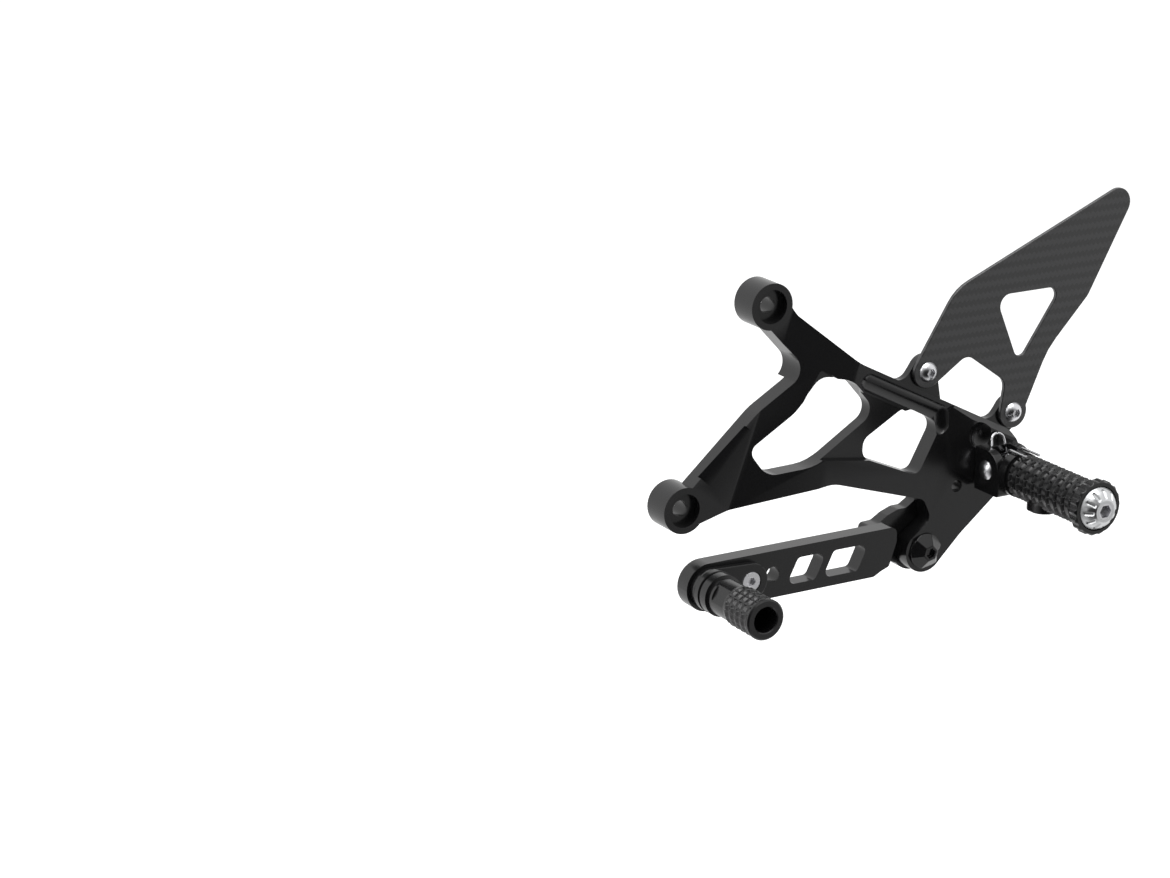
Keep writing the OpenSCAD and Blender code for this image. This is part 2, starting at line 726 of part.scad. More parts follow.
module lever_pivot_nut() {
    color([0.6, 0.6, 0.62]) difference() {
        translate([pivot_x, -(sleeve_back - washer_t - nut_h), pivot_z]) rotate([90, 0, 0])
            cylinder(r = hex_r(13), h = nut_h, $fn = 6);
        bar(pivot_x, pivot_z, pivot_bolt_r + fit_gap, sleeve_back - washer_t - nut_h - over,
            sleeve_back - washer_t + over);
    }
}

// Shift lever
// The arm passes outside the lower frame boss when the toe end rises
arm_front = front_high + 1.5;
arm_back = arm_front - arm_t;
toe_x = pivot_x - lever_reach;
arm_z = pivot_z + 4.2;
arm_top = arm_z + arm_h / 2;
arm_low = arm_z - arm_h / 2;
arm_x1 = pivot_x - 18.6;
hub_x0 = arm_x1 - 10.9;
rod_eye = [pivot_x + 6, pivot_z + 34.5];
rod_eye_r = 8;
bush_r = sleeve_bearing_r + run_gap + bush_wall;
link_screw_x = toe_x + link_len;
module arm_outline() {
    polygon(rounded([
        [toe_x - arm_h / 2, arm_top, arm_h / 2 - 0.1], [arm_x1, arm_top, 4], [arm_x1, arm_top - 8, 3],
        [arm_x1 - 4.4, arm_low + 4, 2], [arm_x1 - 9, arm_low + 2.4, 3], [arm_x1 - 13.5, arm_low, 4],
        [toe_x - arm_h / 2, arm_low, arm_h / 2 - 0.1]
    ]));
}
module hub_outline() {
    polygon(rounded([
        [hub_x0, arm_low + 1, 0], [hub_x0, arm_top - 1.5, 2.5], [arm_x1 - 3.4, arm_top - 1.3, 4],
        [arm_x1 + 2.1, arm_top + 2, 4], [pivot_x - 10, pivot_z + 20.8, 5], [pivot_x - 5, pivot_z + 20.8, 3],
        [pivot_x + 0.5, pivot_z + 24.2, 2], [rod_eye.x - 7.7, rod_eye.y, 0],
        [rod_eye.x + 7.9, rod_eye.y - 1, 0], [pivot_x + 12.5, pivot_z, 0], [pivot_x, pivot_z - 12.8, 0],
        [arm_x1 + 4, arm_low + 2, 4]
    ]));
    translate(rod_eye) circle(rod_eye_r);
    translate([pivot_x, pivot_z]) circle(hub_r);
}
window_low = arm_z - 7.2;
window_top = arm_z + 6.2;
module lever_windows() {
    for (w = [[95.5, 17, 6.8], [117, 21, 6.5]]) {
        x0 = pivot_x - lever_reach + w[0] - 49.8;
        polygon(rounded([[x0, window_low, 3], [x0 + w[2], window_top, 3],
            [x0 + w[1] + w[2], window_top, 3.5], [x0 + w[1], window_low, 3]]));
    }
    translate([link_screw_x + 15, arm_z]) circle(4);
}
module shift_lever() {
    color([0.07, 0.07, 0.075]) difference() {
        union() {
            slab(arm_back, arm_front) arm_outline();
            slab(hub_back, hub_front) hub_outline();
            slab(hub_back, arm_front) intersection() {
                arm_outline();
                hub_outline();
                translate([hub_x0, arm_low - 5]) square([arm_x1 - hub_x0, arm_h + 10]);
            }
        }
        slab(arm_back - over, arm_front + over) lever_windows();
        bar(pivot_x, pivot_z, bush_r, hub_back - over, hub_front + over);
        bar(rod_eye.x, rod_eye.y, rod_hole_r, hub_back - over, hub_front + over);
        bar(link_screw_x, arm_z, 3 + fit_gap, arm_back - over, arm_front + over);
        bar(toe_x, arm_z, 4 + fit_gap, arm_back - over, arm_front + over);
        // Broken upper front edge of the arm
        translate([toe_x, -arm_front, arm_top]) rotate([45, 0, 0])
            cube([lever_reach - 18 + over, 1.7, 1.7], center = false);
    }
}
// Half of the hub's bearing
module lever_bush(from, to) {
    color([0.72, 0.55, 0.3]) difference() {
        bar(pivot_x, pivot_z, bush_r - 0.02, from, to);
        bar(pivot_x, pivot_z, sleeve_bearing_r + run_gap, from - over, to + over);
    }
}
module lever_bush_outer() lever_bush((hub_back + hub_front) / 2 + 0.1, hub_front);
module lever_bush_inner() lever_bush(hub_back, (hub_back + hub_front) / 2 - 0.1);

// Toe peg, its link and their screws
link_front = arm_front + link_t;
link_end_r = arm_h / 2 - 2.8;
toe_end = link_front + toe_len;
module toe_link() {
    color([0.07, 0.07, 0.075]) difference() {
        slab(arm_front, link_front) {
            translate([toe_x, arm_z]) circle(link_end_r + 1);
            translate([link_screw_x, arm_z]) circle(link_end_r);
            polygon([[toe_x, arm_z - link_end_r - 1], [link_screw_x, arm_z - link_end_r],
                [link_screw_x, arm_z + link_end_r], [toe_x, arm_z + link_end_r + 1]]);
        }
        bar(toe_x, arm_z, 4 + fit_gap, arm_front - over, link_front + over);
        bar(link_screw_x, arm_z, 3 + fit_gap, arm_front - over, link_front + over);
        turned(link_screw_x, arm_z) polygon([[0, link_front - 2.6], [2.6, link_front - 2.6],
            [5.3, link_front + 0.1], [5.3, link_front + over], [0, link_front + over]]);
    }
}
module toe_link_screw() {
    color([0.85, 0.85, 0.87]) difference() {
        union() {
            bar(link_screw_x, arm_z, 3, arm_back - 5, link_front - 2);
            turned(link_screw_x, arm_z) polygon([[0, link_front - 2.55], [2.6, link_front - 2.55],
                [5.1, link_front], [0, link_front]]);
        }
        translate([link_screw_x, -link_front + 2, arm_z]) rotate([90, 0, 0])
            cylinder(r = hex_r(4), h = 3, $fn = 6);
    }
}
module toe_link_nut() {
    color([0.6, 0.6, 0.62]) difference() {
        translate([link_screw_x, -(arm_back - 4.5), arm_z]) rotate([90, 0, 0])
            cylinder(r = hex_r(10), h = 4.5, $fn = 6);
        bar(link_screw_x, arm_z, 3 + fit_gap, arm_back - 6, arm_back + over);
    }
}
toe_knurl = 23;
toe_rings = 5;
toe_teeth = 16;
toe_waist_r = toe_r - 0.9;
module toe_profile() {
    pitch = toe_knurl / toe_rings;
    start = toe_end - toe_knurl;
    root = toe_r - 0.8;
    polygon(concat(
        [[0, link_front], [toe_r + 0.1, link_front], [toe_r + 0.5, link_front + 0.4],
            [toe_r + 0.5, link_front + 3.6], [toe_r - 0.6, link_front + 4], [toe_r - 0.6, link_front + 4.8],
            [toe_r + 0.3, link_front + 5.2], [toe_r + 0.3, link_front + 10], [toe_r - 1.3, link_front + 10.5],
            [toe_r - 1.3, link_front + 11.6], [toe_waist_r, link_front + 12.2],
            [toe_waist_r, start - 0.6], [root, start]],
        [for (i = [0:toe_rings - 2]) each [[toe_r, start + pitch * (i + 0.45)],
            [toe_r, start + pitch * (i + 0.55)], [root, start + pitch * (i + 1)]]],
        [[toe_r, toe_end - pitch * 0.6], [toe_r, toe_end - 0.8], [toe_r - 0.8, toe_end], [0, toe_end]]
    ));
}
module toe_peg() {
    color([0.06, 0.06, 0.065]) difference() {
        turned(toe_x, arm_z) toe_profile();
        bar(toe_x, arm_z, toe_bore_r, toe_end - toe_bore_depth, toe_end + over);
        bar(toe_x, arm_z, 4 + fit_gap, link_front - over, toe_end);
        for (i = [0:toe_teeth - 1]) translate([toe_x, 0, arm_z]) rotate([0, 360 * i / toe_teeth, 0])
            translate([toe_r, -(toe_end - toe_knurl), 0]) rotate([90, 0, 0]) linear_extrude(toe_knurl - 1.6)
                polygon([[0.5, -0.8], [0.5, 0.8], [-0.8, 0.15], [-0.8, -0.15]]);
        // Two spanner flats on the waist
        for (a = [30, 210]) translate([toe_x, 0, arm_z]) rotate([0, a, 0])
            translate([toe_waist_r - 1.1, -(toe_end - toe_knurl - 1), -8]) cube([4, 10, 16]);
    }
}
module toe_peg_bolt() {
    seat = toe_end - toe_bore_depth;
    color([0.1, 0.1, 0.105]) difference() {
        union() {
            bar(toe_x, arm_z, 4, arm_back + 0.5, seat + 0.2);
            bar(toe_x, arm_z, toe_bore_r - 0.25, seat, seat + 6);
        }
        translate([toe_x, -seat - 2.5, arm_z]) rotate([90, 0, 0])
            cylinder(r = hex_r(6), h = 5, $fn = 6);
    }
}

bracket_plate();
heel_guard();
heel_guard_screw_front();
heel_guard_screw_rear();
peg_clevis();
clevis_bolt();
clevis_washer();
clevis_dowel();
peg_pivot_pin();
pin_circlip();
peg_return_springs();
peg_core();
peg_sleeve();
peg_end_cap();
peg_cap_bolt();
peg_lock_screw();
lever_pivot_bolt();
lever_bearing_sleeve();
lever_pivot_washer();
lever_pivot_nut();
shift_lever();
lever_bush_outer();
lever_bush_inner();
toe_link();
toe_link_screw();
toe_link_nut();
toe_peg();
toe_peg_bolt();
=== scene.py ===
"""Finishes and studio for a gear-side rear-set footrest.

Everything is in metres in the CAD frame: +Z up, +X rearward, -Y outward along the footpeg.
A depth is a distance along -Y from the plane where the frame meets the bracket.
"""

import json
import math

import bmesh
import bpy
import numpy as np
from bpy.props import FloatProperty, FloatVectorProperty, IntProperty, PointerProperty
from mathutils import Matrix, Vector


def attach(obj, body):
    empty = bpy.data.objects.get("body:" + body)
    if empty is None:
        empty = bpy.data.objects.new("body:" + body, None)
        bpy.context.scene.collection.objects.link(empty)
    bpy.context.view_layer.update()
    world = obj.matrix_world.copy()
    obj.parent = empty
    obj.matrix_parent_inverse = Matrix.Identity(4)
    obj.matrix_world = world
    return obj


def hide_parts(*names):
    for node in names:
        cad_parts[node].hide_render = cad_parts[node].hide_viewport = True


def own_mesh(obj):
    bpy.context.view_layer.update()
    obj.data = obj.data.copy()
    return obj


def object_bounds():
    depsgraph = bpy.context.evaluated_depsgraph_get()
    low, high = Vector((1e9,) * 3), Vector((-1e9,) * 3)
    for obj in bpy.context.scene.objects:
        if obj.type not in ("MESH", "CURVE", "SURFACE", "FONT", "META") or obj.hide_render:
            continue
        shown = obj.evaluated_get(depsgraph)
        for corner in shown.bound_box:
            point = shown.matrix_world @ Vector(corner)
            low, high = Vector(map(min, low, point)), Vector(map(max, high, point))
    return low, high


bl_info = {
    "name": "Rear-set Footrest",
    "version": (1, 0, 0),
    "blender": (4, 5, 0),
    "location": "View3D > Sidebar > Footrest",
    "description": "Finishes, springs and studio for a rear-set footrest",
    "category": "Object",
}

MM = 0.001
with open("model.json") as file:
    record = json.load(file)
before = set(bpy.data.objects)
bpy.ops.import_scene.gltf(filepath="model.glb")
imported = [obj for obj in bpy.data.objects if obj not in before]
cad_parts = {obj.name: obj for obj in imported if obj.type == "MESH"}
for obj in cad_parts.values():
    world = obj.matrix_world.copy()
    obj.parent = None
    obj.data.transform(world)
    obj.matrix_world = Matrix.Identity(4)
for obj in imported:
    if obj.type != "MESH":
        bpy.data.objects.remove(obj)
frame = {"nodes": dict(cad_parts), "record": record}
cad_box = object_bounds()

# Places repeated from the CAD source, in metres: the footpeg's axis, its pin and its stop, the toe peg's axis
PEG_X, PEG_Z = 128.5 * MM, -96 * MM
PIN_DEPTH = 36 * MM
STOP_DEPTH = 47 * MM
TOE_X, TOE_Z = -40.5 * MM, -133.8 * MM

# Return springs, in metres. A coil runs from COIL_OUT to COIL_IN beside the middle of the peg
WIRE_R = 0.65 * MM
COIL_R = 5.25 * MM
COIL_IN = 3.8 * MM
COIL_OUT = COIL_IN + 1.274 * MM
COIL_POINTS = 120
LEG_Z = PEG_Z + 12.15 * MM
LEG_END = 60 * MM
KNEE_DEPTH = STOP_DEPTH - 0.8 * MM
FOOT_DEPTH = STOP_DEPTH - MM
FOOT_ROOT_DEPTH = PIN_DEPTH + 0.2 * MM

# The loop that joins the springs. The CAD has none, and the photograph shows its upper half
LOOP_X, LOOP_HALF = PEG_X + 1 * MM, 3.8 * MM
LOOP_DEPTH, LOOP_Z = 29.4 * MM, PEG_Z + 12.6 * MM
LOOP_FOOT_DEPTH, LOOP_FOOT_Z = PIN_DEPTH - 3 * MM, PEG_Z + 4.4 * MM
LOOP_RISE, LOOP_LEAN = 0.8, 0.3

# Footpeg sleeve, in millimetres. At SPINDLE_END the spindle's bore ends and the cap bolt's narrower one begins
SLEEVE_R, SLEEVE_START, SLEEVE_LEN = 11.6, 52, 54
SLEEVE_RINGS, SLEEVE_TEETH, SLEEVE_TOOTH = 9, 18, 1.3
SPINDLE_R, SPINDLE_END = 7.55, 101.55
CAP_SEAT_R, CAP_SEAT, CAP_BOLT_R = 11.3, 109.5, 5.5
FLANGE_R, FLANGE_END, FLANGE_EDGE = 14, 112, 1
SCALLOP_R, SCALLOP_OUT = 2.4, 1.6
# Boss of the lock screw below it. The CAD's is longer, and the photograph fits this one
LOCK_BOSS_DROP, LOCK_BOSS_HALF, LOCK_BOSS_FROM, LOCK_BOSS_LEN = 13, 8, 61, 17

# Toe peg, in millimetres
TOE_R, TOE_START, TOE_END, TOE_KNURL, TOE_RIM = 10.3, 29.5, 77.5, 23, 1.6
TOE_RINGS, TOE_TEETH, TOE_TOOTH = 5, 16, 0.8
TOE_BORE_R, TOE_BORE_DEPTH, TOE_BOLT_R = 6.4, 22, 4.05
FLAT_TURN, FLAT_CUT, WAIST_LEN = math.radians(30), 2, 11

# Points round a turned surface for each tooth, and the angle in degrees above which its edges stay sharp
TOOTH_POINTS, TURNED_SHARP = 16, 32

# Edges of the CAD's own surfaces that turn by more than this stay sharp and are broken
EDGE_ANGLE = math.radians(28)

BRONZE = (0.65, 0.47, 0.24)
# How much lighter the warp tows are than the weft
WARP_LIFT = 1.9
# Height of the blasted grain and of a tow, in metres
GRAIN_HEIGHT, TOW_HEIGHT = 0.00003, 0.0001

# The studio's dark side, where the photographer stands, as a direction from the part
DARK_SIDE = (-0.39, -0.9, -0.18)
# Share of a ray's direction along it where the light begins to fade, and where it is gone
FADE_FROM, FADE_TO = 0.3, 0.84
# Strength of the even light from all round, and what the camera adds to the floor to see it white
EVEN_LIGHT, FLOOR_LIFT = 0.5, 0.55
FLOOR_HALF, FLOOR_DROP = 4, 0.12
# Each soft light's name, place, width and power, and the point that they are aimed at
SOFTBOXES = (("top_softbox", (-0.1, -0.1, 0.95), 0.9, 9), ("left_softbox", (-1.15, 0.1, 0.45), 0.7, 4))
LIGHT_AIM = Vector((0.08, -0.04, -0.07))

# Camera of the photograph: turned about Z, raised, and its place
CAMERA_TURN = math.radians(-29.6)
CAMERA_RISE = math.radians(17.4)
CAMERA_AT = Vector((-0.77173, -1.190997, 0.37283))
CAMERA_LENS = 92.3

# Material names by the record's slots
FINISH_NAMES = {
    "black_anodised": "Black anodising", "black_knurled": "Knurled black",
    "black_steel": "Black oxide steel", "silver_aluminium": "Silver cap",
    "bright_steel": "Bright steel", "spring_steel": "Spring wire",
    "bronze": "Sintered bronze", "carbon_weave": "Carbon laminate",
}
MACHINED = ("bracket_plate", "peg_clevis", "shift_lever", "toe_link", "peg_core")
SCREWS = (
    "heel_guard_screw_front", "heel_guard_screw_rear", "clevis_bolt", "clevis_washer", "clevis_dowel",
    "peg_pivot_pin", "pin_circlip", "peg_cap_bolt", "peg_lock_screw", "lever_pivot_bolt",
    "lever_bearing_sleeve", "lever_pivot_washer", "lever_pivot_nut", "lever_bush_outer",
    "lever_bush_inner", "toe_link_screw", "toe_link_nut", "toe_peg_bolt")


# Settings
class FootrestFinish(bpy.types.PropertyGroup):
    """Colours and sheen of the surfaces."""

    black: FloatVectorProperty(
        name="Black anodising", description="Colour of the machined black parts",
        subtype="COLOR", size=3, min=0, max=1, default=(0.006, 0.006, 0.0064))
    silver: FloatVectorProperty(
        name="Silver", description="Colour of the end cap",
        subtype="COLOR", size=3, min=0, max=1, default=(0.656, 0.6642, 0.6724))
    steel: FloatVectorProperty(
        name="Steel", description="Colour of the bright screws, the pin and the springs",
        subtype="COLOR", size=3, min=0, max=1, default=(0.72, 0.72, 0.74))
    carbon: FloatVectorProperty(
        name="Carbon", description="Colour of the heel guard's darker tows",
        subtype="COLOR", size=3, min=0, max=1, default=(0.014, 0.014, 0.0148))
    black_roughness: FloatProperty(
        name="Black roughness", description="Roughness of the black anodising",
        subtype="FACTOR", min=0, max=1, default=0.2)
    tow_width: FloatProperty(
        name="Tow width", description="Width of one tow of the carbon weave",
        subtype="DISTANCE", min=0.0005, max=0.01, default=0.002)


class FootrestSizes(bpy.types.PropertyGroup):
    """Small sizes that the CAD leaves sharp."""

    edge_break: FloatProperty(
        name="Edge break", description="Bevel on the edges of the large machined parts",
        subtype="DISTANCE", min=0, max=0.002, default=0.0004)
    screw_break: FloatProperty(
        name="Screw edge break", description="Bevel on the edges of screws and pins",
        subtype="DISTANCE", min=0, max=0.001, default=0.0002)
    cap_break: FloatProperty(
        name="Cap edge break", description="Bevel on the edges of the end cap's flutes",
        subtype="DISTANCE", min=0, max=0.001, default=0.00012)
    wire_sides: IntProperty(
        name="Wire sides", description="Faces round the spring wire", min=6, max=48, default=20)


# Shader groups
def new_group(name, inputs, outputs):
    """An empty shader group with its sockets, given as (name, socket type, default)."""
    group = bpy.data.node_groups.new(name, "ShaderNodeTree")
    for label, kind, value in inputs:
        socket = group.interface.new_socket(label, in_out="INPUT", socket_type=kind)
        if value is not None:
            socket.default_value = value
    for label, kind in outputs:
        group.interface.new_socket(label, in_out="OUTPUT", socket_type=kind)
    return group, group.nodes.new("NodeGroupInput"), group.nodes.new("NodeGroupOutput")


def math_node(tree, operation, a, b=None):
    """A Math node whose inputs are sockets or numbers. Returns its output socket."""
    node = tree.nodes.new("ShaderNodeMath")
    node.operation = operation
    for i, value in enumerate((a, b)):
        if value is None:
            continue
        if isinstance(value, bpy.types.NodeSocket):
            tree.links.new(value, node.inputs[i])
        else:
            node.inputs[i].default_value = value
    return node.outputs[0]


def blasted_skin():
    """Fine blasted and anodised skin: grain = noise at the grain size, cloud = slow noise over the part."""
    group, start, end = new_group(
        "Blasted skin",
        [("Vector", "NodeSocketVector", None), ("Grain per metre", "NodeSocketFloat", 2600.0),
         ("Base roughness", "NodeSocketFloat", 0.36), ("Roughness spread", "NodeSocketFloat", 0.08)],
        [("Height", "NodeSocketFloat"), ("Roughness", "NodeSocketFloat")])
    grain = group.nodes.new("ShaderNodeTexNoise")
    grain.inputs["Detail"].default_value = 3
    cloud = group.nodes.new("ShaderNodeTexNoise")
    cloud.inputs["Scale"].default_value = 60
    cloud.inputs["Detail"].default_value = 4
    for node in (grain, cloud):
        group.links.new(start.outputs["Vector"], node.inputs["Vector"])
    group.links.new(start.outputs["Grain per metre"], grain.inputs["Scale"])
    group.links.new(grain.outputs["Fac"], end.inputs["Height"])
    shift = math_node(group, "SUBTRACT", cloud.outputs["Fac"], 0.5)
    spread = math_node(group, "MULTIPLY", shift, start.outputs["Roughness spread"])
    roughness = math_node(group, "ADD", spread, start.outputs["Base roughness"])
    group.links.new(roughness, end.inputs["Roughness"])
    return group


def twill_weave():
    """Two-by-two twill in X and Z: the warp lies on top where (column + row) modulo 4 is under 2.
    Each tow's height is the sine across its width."""
    group, start, end = new_group(
        "Twill weave",
        [("Vector", "NodeSocketVector", None), ("Tows per metre", "NodeSocketFloat", 500.0)],
        [("Warp", "NodeSocketFloat"), ("Height", "NodeSocketFloat")])
    turn = group.nodes.new("ShaderNodeVectorRotate")
    turn.rotation_type = "Y_AXIS"
    turn.inputs["Angle"].default_value = math.radians(45)
    group.links.new(start.outputs["Vector"], turn.inputs["Vector"])
    split = group.nodes.new("ShaderNodeSeparateXYZ")
    group.links.new(turn.outputs[0], split.inputs[0])
    across, along = (math_node(group, "MULTIPLY", split.outputs[axis], start.outputs["Tows per metre"])
                     for axis in "XZ")
    cell = math_node(group, "ADD", math_node(group, "FLOOR", across), math_node(group, "FLOOR", along))
    warp = math_node(group, "LESS_THAN", math_node(group, "FLOORED_MODULO", cell, 4.0), 2.0)
    weft = math_node(group, "SUBTRACT", 1.0, warp)
    heights = []
    for tow, place in ((warp, across), (weft, along)):
        half_turn = math_node(group, "MULTIPLY", math_node(group, "FRACT", place), math.pi)
        heights.append(math_node(group, "MULTIPLY", tow, math_node(group, "SINE", half_turn)))
    group.links.new(warp, end.inputs["Warp"])
    group.links.new(math_node(group, "ADD", *heights), end.inputs["Height"])
    return group


# Materials
def new_material(name):
    """A material with its Principled BSDF, and a Texture Coordinate node for Object coordinates."""
    material = bpy.data.materials.new(name)
    material.use_nodes = True
    tree = material.node_tree
    return material, tree, tree.nodes["Principled BSDF"], tree.nodes.new("ShaderNodeTexCoord")


def set_inputs(node, values):
    """Sets constants on a node's own sockets."""
    for label, value in values.items():
        node.inputs[label].default_value = value


def place_group(tree, group, coords, values):
    """Puts a shader group in a material, reading Object coordinates."""
    node = tree.nodes.new("ShaderNodeGroup")
    node.node_tree = group
    tree.links.new(coords.outputs["Object"], node.inputs["Vector"])
    set_inputs(node, values)
    return node


def add_bump(tree, height, shader, strength, distance):
    """A Bump node from a height to the shader's Normal."""
    bump = tree.nodes.new("ShaderNodeBump")
    set_inputs(bump, {"Strength": strength, "Distance": distance})
    tree.links.new(height, bump.inputs["Height"])
    tree.links.new(bump.outputs["Normal"], shader.inputs["Normal"])


def skinned(name, skin, colour, metallic, roughness, spread, grain, strength):
    """A finish made of the blasted skin group with its own colour, sheen and grain."""
    _, tree, shader, coords = new_material(name)
    set_inputs(shader, {"Base Color": (*colour, 1), "Metallic": metallic})
    node = place_group(tree, skin, coords, {
        "Grain per metre": grain, "Base roughness": roughness, "Roughness spread": spread})
    tree.links.new(node.outputs["Roughness"], shader.inputs["Roughness"])
    add_bump(tree, node.outputs["Height"], shader, strength, GRAIN_HEIGHT)


def carbon_laminate(name, weave, colour, tows):
    """Carbon twill under clear resin: the two tow directions differ a little in tone."""
    _, tree, shader, coords = new_material(name)
    node = place_group(tree, weave, coords, {"Tows per metre": tows})
    mix = tree.nodes.new("ShaderNodeMix")
    mix.data_type = "RGBA"
    # Sockets 6 and 7 are the two colours, and output 2 the mixed one
    mix.inputs[6].default_value = (*colour, 1)
    mix.inputs[7].default_value = (*(c * WARP_LIFT for c in colour), 1)
    tree.links.new(node.outputs["Warp"], mix.inputs[0])
    tree.links.new(mix.outputs[2], shader.inputs["Base Color"])
    set_inputs(shader, {"Roughness": 0.4, "Coat Weight": 0.5, "Coat Roughness": 0.16})
    add_bump(tree, node.outputs["Height"], shader, 0.12, TOW_HEIGHT)


def make_finishes(finish):
    """One material for each of the record's material slots."""
    skin, weave = blasted_skin(), twill_weave()
    black, silver, steel = tuple(finish.black), tuple(finish.silver), tuple(finish.steel)
    rough = finish.black_roughness
    # Slot, colour, metallic, roughness and its spread, grains per metre, strength of the grain
    for slot, *values in (
            ("black_anodised", black, 0, rough, 0.06, 2600, 0.09),
            ("black_knurled", black, 0, rough + 0.04, 0.06, 2200, 0.08),
            ("black_steel", black, 0, rough - 0.06, 0.08, 1800, 0.06),
            ("silver_aluminium", silver, 1, 0.34, 0.08, 1500, 0.12),
            ("bright_steel", steel, 1, 0.27, 0.08, 1200, 0.08),
            ("spring_steel", steel, 1, 0.26, 0.1, 3000, 0.1),
            ("bronze", BRONZE, 1, 0.45, 0.1, 3000, 0.3)):
        skinned(FINISH_NAMES[slot], skin, *values)
    carbon_laminate(FINISH_NAMES["carbon_weave"], weave, tuple(finish.carbon), 1 / finish.tow_width)


# Pieces
def body_with(node):
    """The body that a CAD node belongs to."""
    for body, nodes in frame["record"]["behaviour"]["bodies"].items():
        if node in nodes:
            return body
    raise RuntimeError(f"no body holds {node}")


def slot_of(node):
    """The record's material slot for a CAD node."""
    return next(s["material_slot"] for s in frame["record"]["subparts"] if s["node"] == node)


def placed(name, data):
    """A new object with its data, in the current collection."""
    made = bpy.data.objects.new(name, data)
    bpy.context.collection.objects.link(made)
    return made


def stand_for(piece, node, body, slot):
    """Gives a piece the material of its slot and the body it moves with, in place of a CAD node."""
    piece.data.materials.append(bpy.data.materials[FINISH_NAMES[slot]])
    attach(piece, body)
    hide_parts(node)


def finished_copy(node, width):
    """A copy of a CAD node with its triangles merged, its flats whole and its edges broken, to stand for it."""
    mesh = frame["nodes"][node].data.copy()
    mesh.name = node + ".finished"
    bm = bmesh.new()
    bm.from_mesh(mesh)
    bmesh.ops.remove_doubles(bm, verts=bm.verts, dist=2e-6)
    bmesh.ops.dissolve_limit(bm, angle_limit=math.radians(0.6), verts=bm.verts, edges=bm.edges)
    bm.to_mesh(mesh)
    bm.free()
    mesh.materials.clear()
    piece = placed(mesh.name, mesh)
    mesh.shade_smooth()
    mesh.set_sharp_from_angle(angle=EDGE_ANGLE)
    bevel = piece.modifiers.new("Broken edges", "BEVEL")
    bevel.width = width
    bevel.segments = 2
    bevel.limit_method = "ANGLE"
    bevel.angle_limit = EDGE_ANGLE
    weighted = piece.modifiers.new("Flat faces", "WEIGHTED_NORMAL")
    weighted.keep_sharp = True
    stand_for(piece, node, body_with(node), slot_of(node))


def ring_quads(rings, sides, closed):
    """Quads between each ring of points and the next. Closed joins the last ring to the first."""
    row, col = np.meshgrid(np.arange(rings if closed else rings - 1), np.arange(sides), indexing="ij")
    up, on = (row + 1) % rings, (col + 1) % sides
    corners = [row * sides + col, row * sides + on, up * sides + on, up * sides + col]
    return np.stack(corners, -1).reshape(-1, 4).tolist()


def smooth_piece(name, verts, faces, sharp):
    """An object of points and faces, turned outward and smooth but for edges over a number of degrees."""
    mesh = bpy.data.meshes.new(name)
    mesh.from_pydata(verts.tolist(), [], faces)
    bm = bmesh.new()
    bm.from_mesh(mesh)
    bmesh.ops.recalc_face_normals(bm, faces=bm.faces)
    bm.to_mesh(mesh)
    bm.free()
    mesh.shade_smooth()
    mesh.set_sharp_from_angle(angle=math.radians(sharp))
    return placed(name, mesh)


def swept_wire(name, path, radius, sides):
    """A round wire along a path: point + radius (cos a * N + sin a * B), with N and B square to the
    tangent and B as near the X axis as it can be. Both ends are closed by a fan."""
    path = np.asarray(path, float)
    tangent = np.gradient(path, axis=0)
    tangent /= np.linalg.norm(tangent, axis=1)[:, None]
    binormal = np.array([1.0, 0, 0]) - tangent * tangent[:, :1]
    binormal /= np.linalg.norm(binormal, axis=1)[:, None]
    normal = np.cross(binormal, tangent)
    angle = np.linspace(0, 2 * np.pi, sides, endpoint=False)[None, :, None]
    ring = np.cos(angle) * normal[:, None] + np.sin(angle) * binormal[:, None]
    verts = np.concatenate([(path[:, None] + radius * ring).reshape(-1, 3), path[:1], path[-1:]])
    first = len(path) * sides
    k = np.arange(sides)
    base = first - sides
    start_cap = np.stack([np.full(sides, first), (k + 1) % sides, k], -1)
    end_cap = np.stack([np.full(sides, first + 1), base + k, base + (k + 1) % sides], -1)
    faces = ring_quads(len(path), sides, False) + start_cap.tolist() + end_cap.tolist()
    return smooth_piece(name, verts, faces, sharp=50)


def wave(turns):
    """A triangle wave: 0 at whole numbers, 1 halfway between them."""
    return 1 - np.abs(2 * (turns % 1) - 1)


def ridge(turns, gain, shift):
    """One ridge for each turn: gain * wave + shift, held between 0 and 1. More gain makes it steeper."""
    return np.clip(gain * wave(turns) + shift, 0, 1)


def between(points, step):
    """Points along a closed profile, none further apart than step. The corners stay."""
    out = []
    for (r0, d0), (r1, d1) in zip(points, points[1:] + points[:1]):
        count = max(1, math.ceil(math.hypot(r1 - r0, d1 - d0) / step))
        t = np.arange(count)[:, None] / count
        out.append(np.array([[r0, d0]]) * (1 - t) + np.array([[r1, d1]]) * t)
    return np.concatenate(out)


def turned_ring(node, points, radius, x, z, teeth, step):
    """A closed profile of radius and depth, in millimetres, carried round an axis along Y at (x, z): a point is
    (x + r cos a, -depth, z + r sin a). r comes from a function of the profile's own radius, the depth and the
    angle, so teeth, scallops and flats are part of one surface."""
    profile = between(points, step)
    angle = np.linspace(0, 2 * np.pi, teeth * TOOTH_POINTS, endpoint=False)
    own, turn = np.broadcast_arrays(profile[:, :1], angle)
    depth = np.broadcast_to(profile[:, 1:], own.shape)
    r = radius(own, depth, turn) * MM
    verts = np.stack([x + r * np.cos(turn), -depth * MM, z + r * np.sin(turn)], -1).reshape(-1, 3)
    quads = ring_quads(len(profile), len(angle), True)
    piece = smooth_piece(node + ".turned", verts, quads, TURNED_SHARP)
    stand_for(piece, node, body_with(node), slot_of(node))


